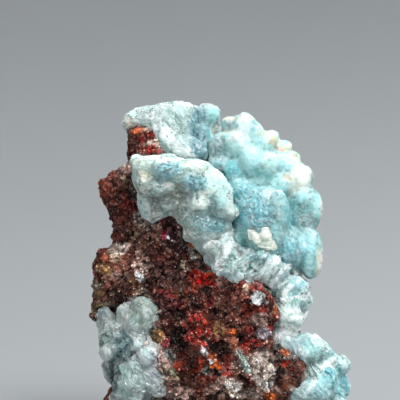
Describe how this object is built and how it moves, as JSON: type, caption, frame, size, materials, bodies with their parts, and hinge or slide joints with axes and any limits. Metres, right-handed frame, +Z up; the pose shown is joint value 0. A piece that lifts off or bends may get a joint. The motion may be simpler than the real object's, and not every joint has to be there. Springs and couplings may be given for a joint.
{
  "type": "hemimorphite mineral specimen",
  "caption": "Standing mineral specimen: lumpy blue and white hemimorphite crusts with small crystals on a rough red-brown gossan matrix, flat underneath so that it stands.",
  "frame": {"origin": "middle of the specimen's outline, on the surface that it stands on", "axes": "+Z up, the tallest extent; +X to the viewer's right; +Y away from the viewer, the shallowest extent"},
  "size_m": [0.0571, 0.0322, 0.0775],
  "materials": {
    "matrix": "rough granular iron oxide with dark pits and red and orange patches",
    "front_lobe": "pale green-blue sparkling druse",
    "right_dome": "satin turquoise botryoidal crust",
    "top_crust": "white to pale aqua crystalline crust",
    "throat_crystals": "white and pale aqua translucent blades",
    "right_foot_crust": "pale aqua translucent crust",
    "left_foot_crust": "grey-green translucent crust with white blades",
    "perched_crystal": "cream satin crystal"
  },
  "bodies": {
    "root": {"matrix": "matrix", "front_lobe": "front_lobe", "right_dome": "right_dome", "top_crust": "top_crust", "throat_crystals": "throat_crystals", "right_foot_crust": "right_foot_crust", "left_foot_crust": "left_foot_crust", "perched_crystal": "perched_crystal"}
  },
  "joints": []
}
